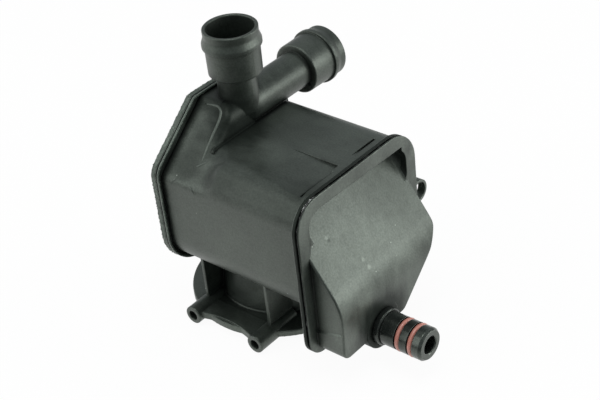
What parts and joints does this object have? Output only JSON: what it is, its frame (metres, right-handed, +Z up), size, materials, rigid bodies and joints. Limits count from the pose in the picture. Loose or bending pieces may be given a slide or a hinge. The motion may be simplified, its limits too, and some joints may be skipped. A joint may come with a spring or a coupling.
{
  "type": "oil catch can",
  "caption": "Moulded oil catch can: boxy body with an upright and a level hose end, round sump with screw bosses, and a sloping front hood carrying a drain spigot with seal rings.",
  "frame": {"origin": "axis of the round sump in the plane of the bottom pan's flat underside", "axes": "+Z up along the sump and the upright hose end; +X from the rear cover to the front cover and out along the drain spigot; +Y along the level hose end, away from the screw bosses"},
  "size_m": [0.1556, 0.1205, 0.1498],
  "materials": {
    "housing_nylon": "satin moulded black glass-filled nylon",
    "cover_nylon": "satin moulded black glass-filled nylon with flow haze",
    "rear_nylon": "fine-grained black nylon with a rough weld band",
    "pan_nylon": "satin black nylon",
    "spigot_plastic": "smooth semi-gloss black plastic",
    "seal_rubber": "salmon-orange silicone rubber",
    "insert_nylon": "plain black nylon"
  },
  "bodies": {
    "root": {"housing": "housing_nylon", "front_cover": "cover_nylon", "rear_cover": "rear_nylon", "bottom_pan": "pan_nylon", "drain_spigot": "spigot_plastic", "seal_ring_inner": "seal_rubber", "seal_ring_outer": "seal_rubber", "labyrinth_insert": "insert_nylon"}
  },
  "joints": []
}
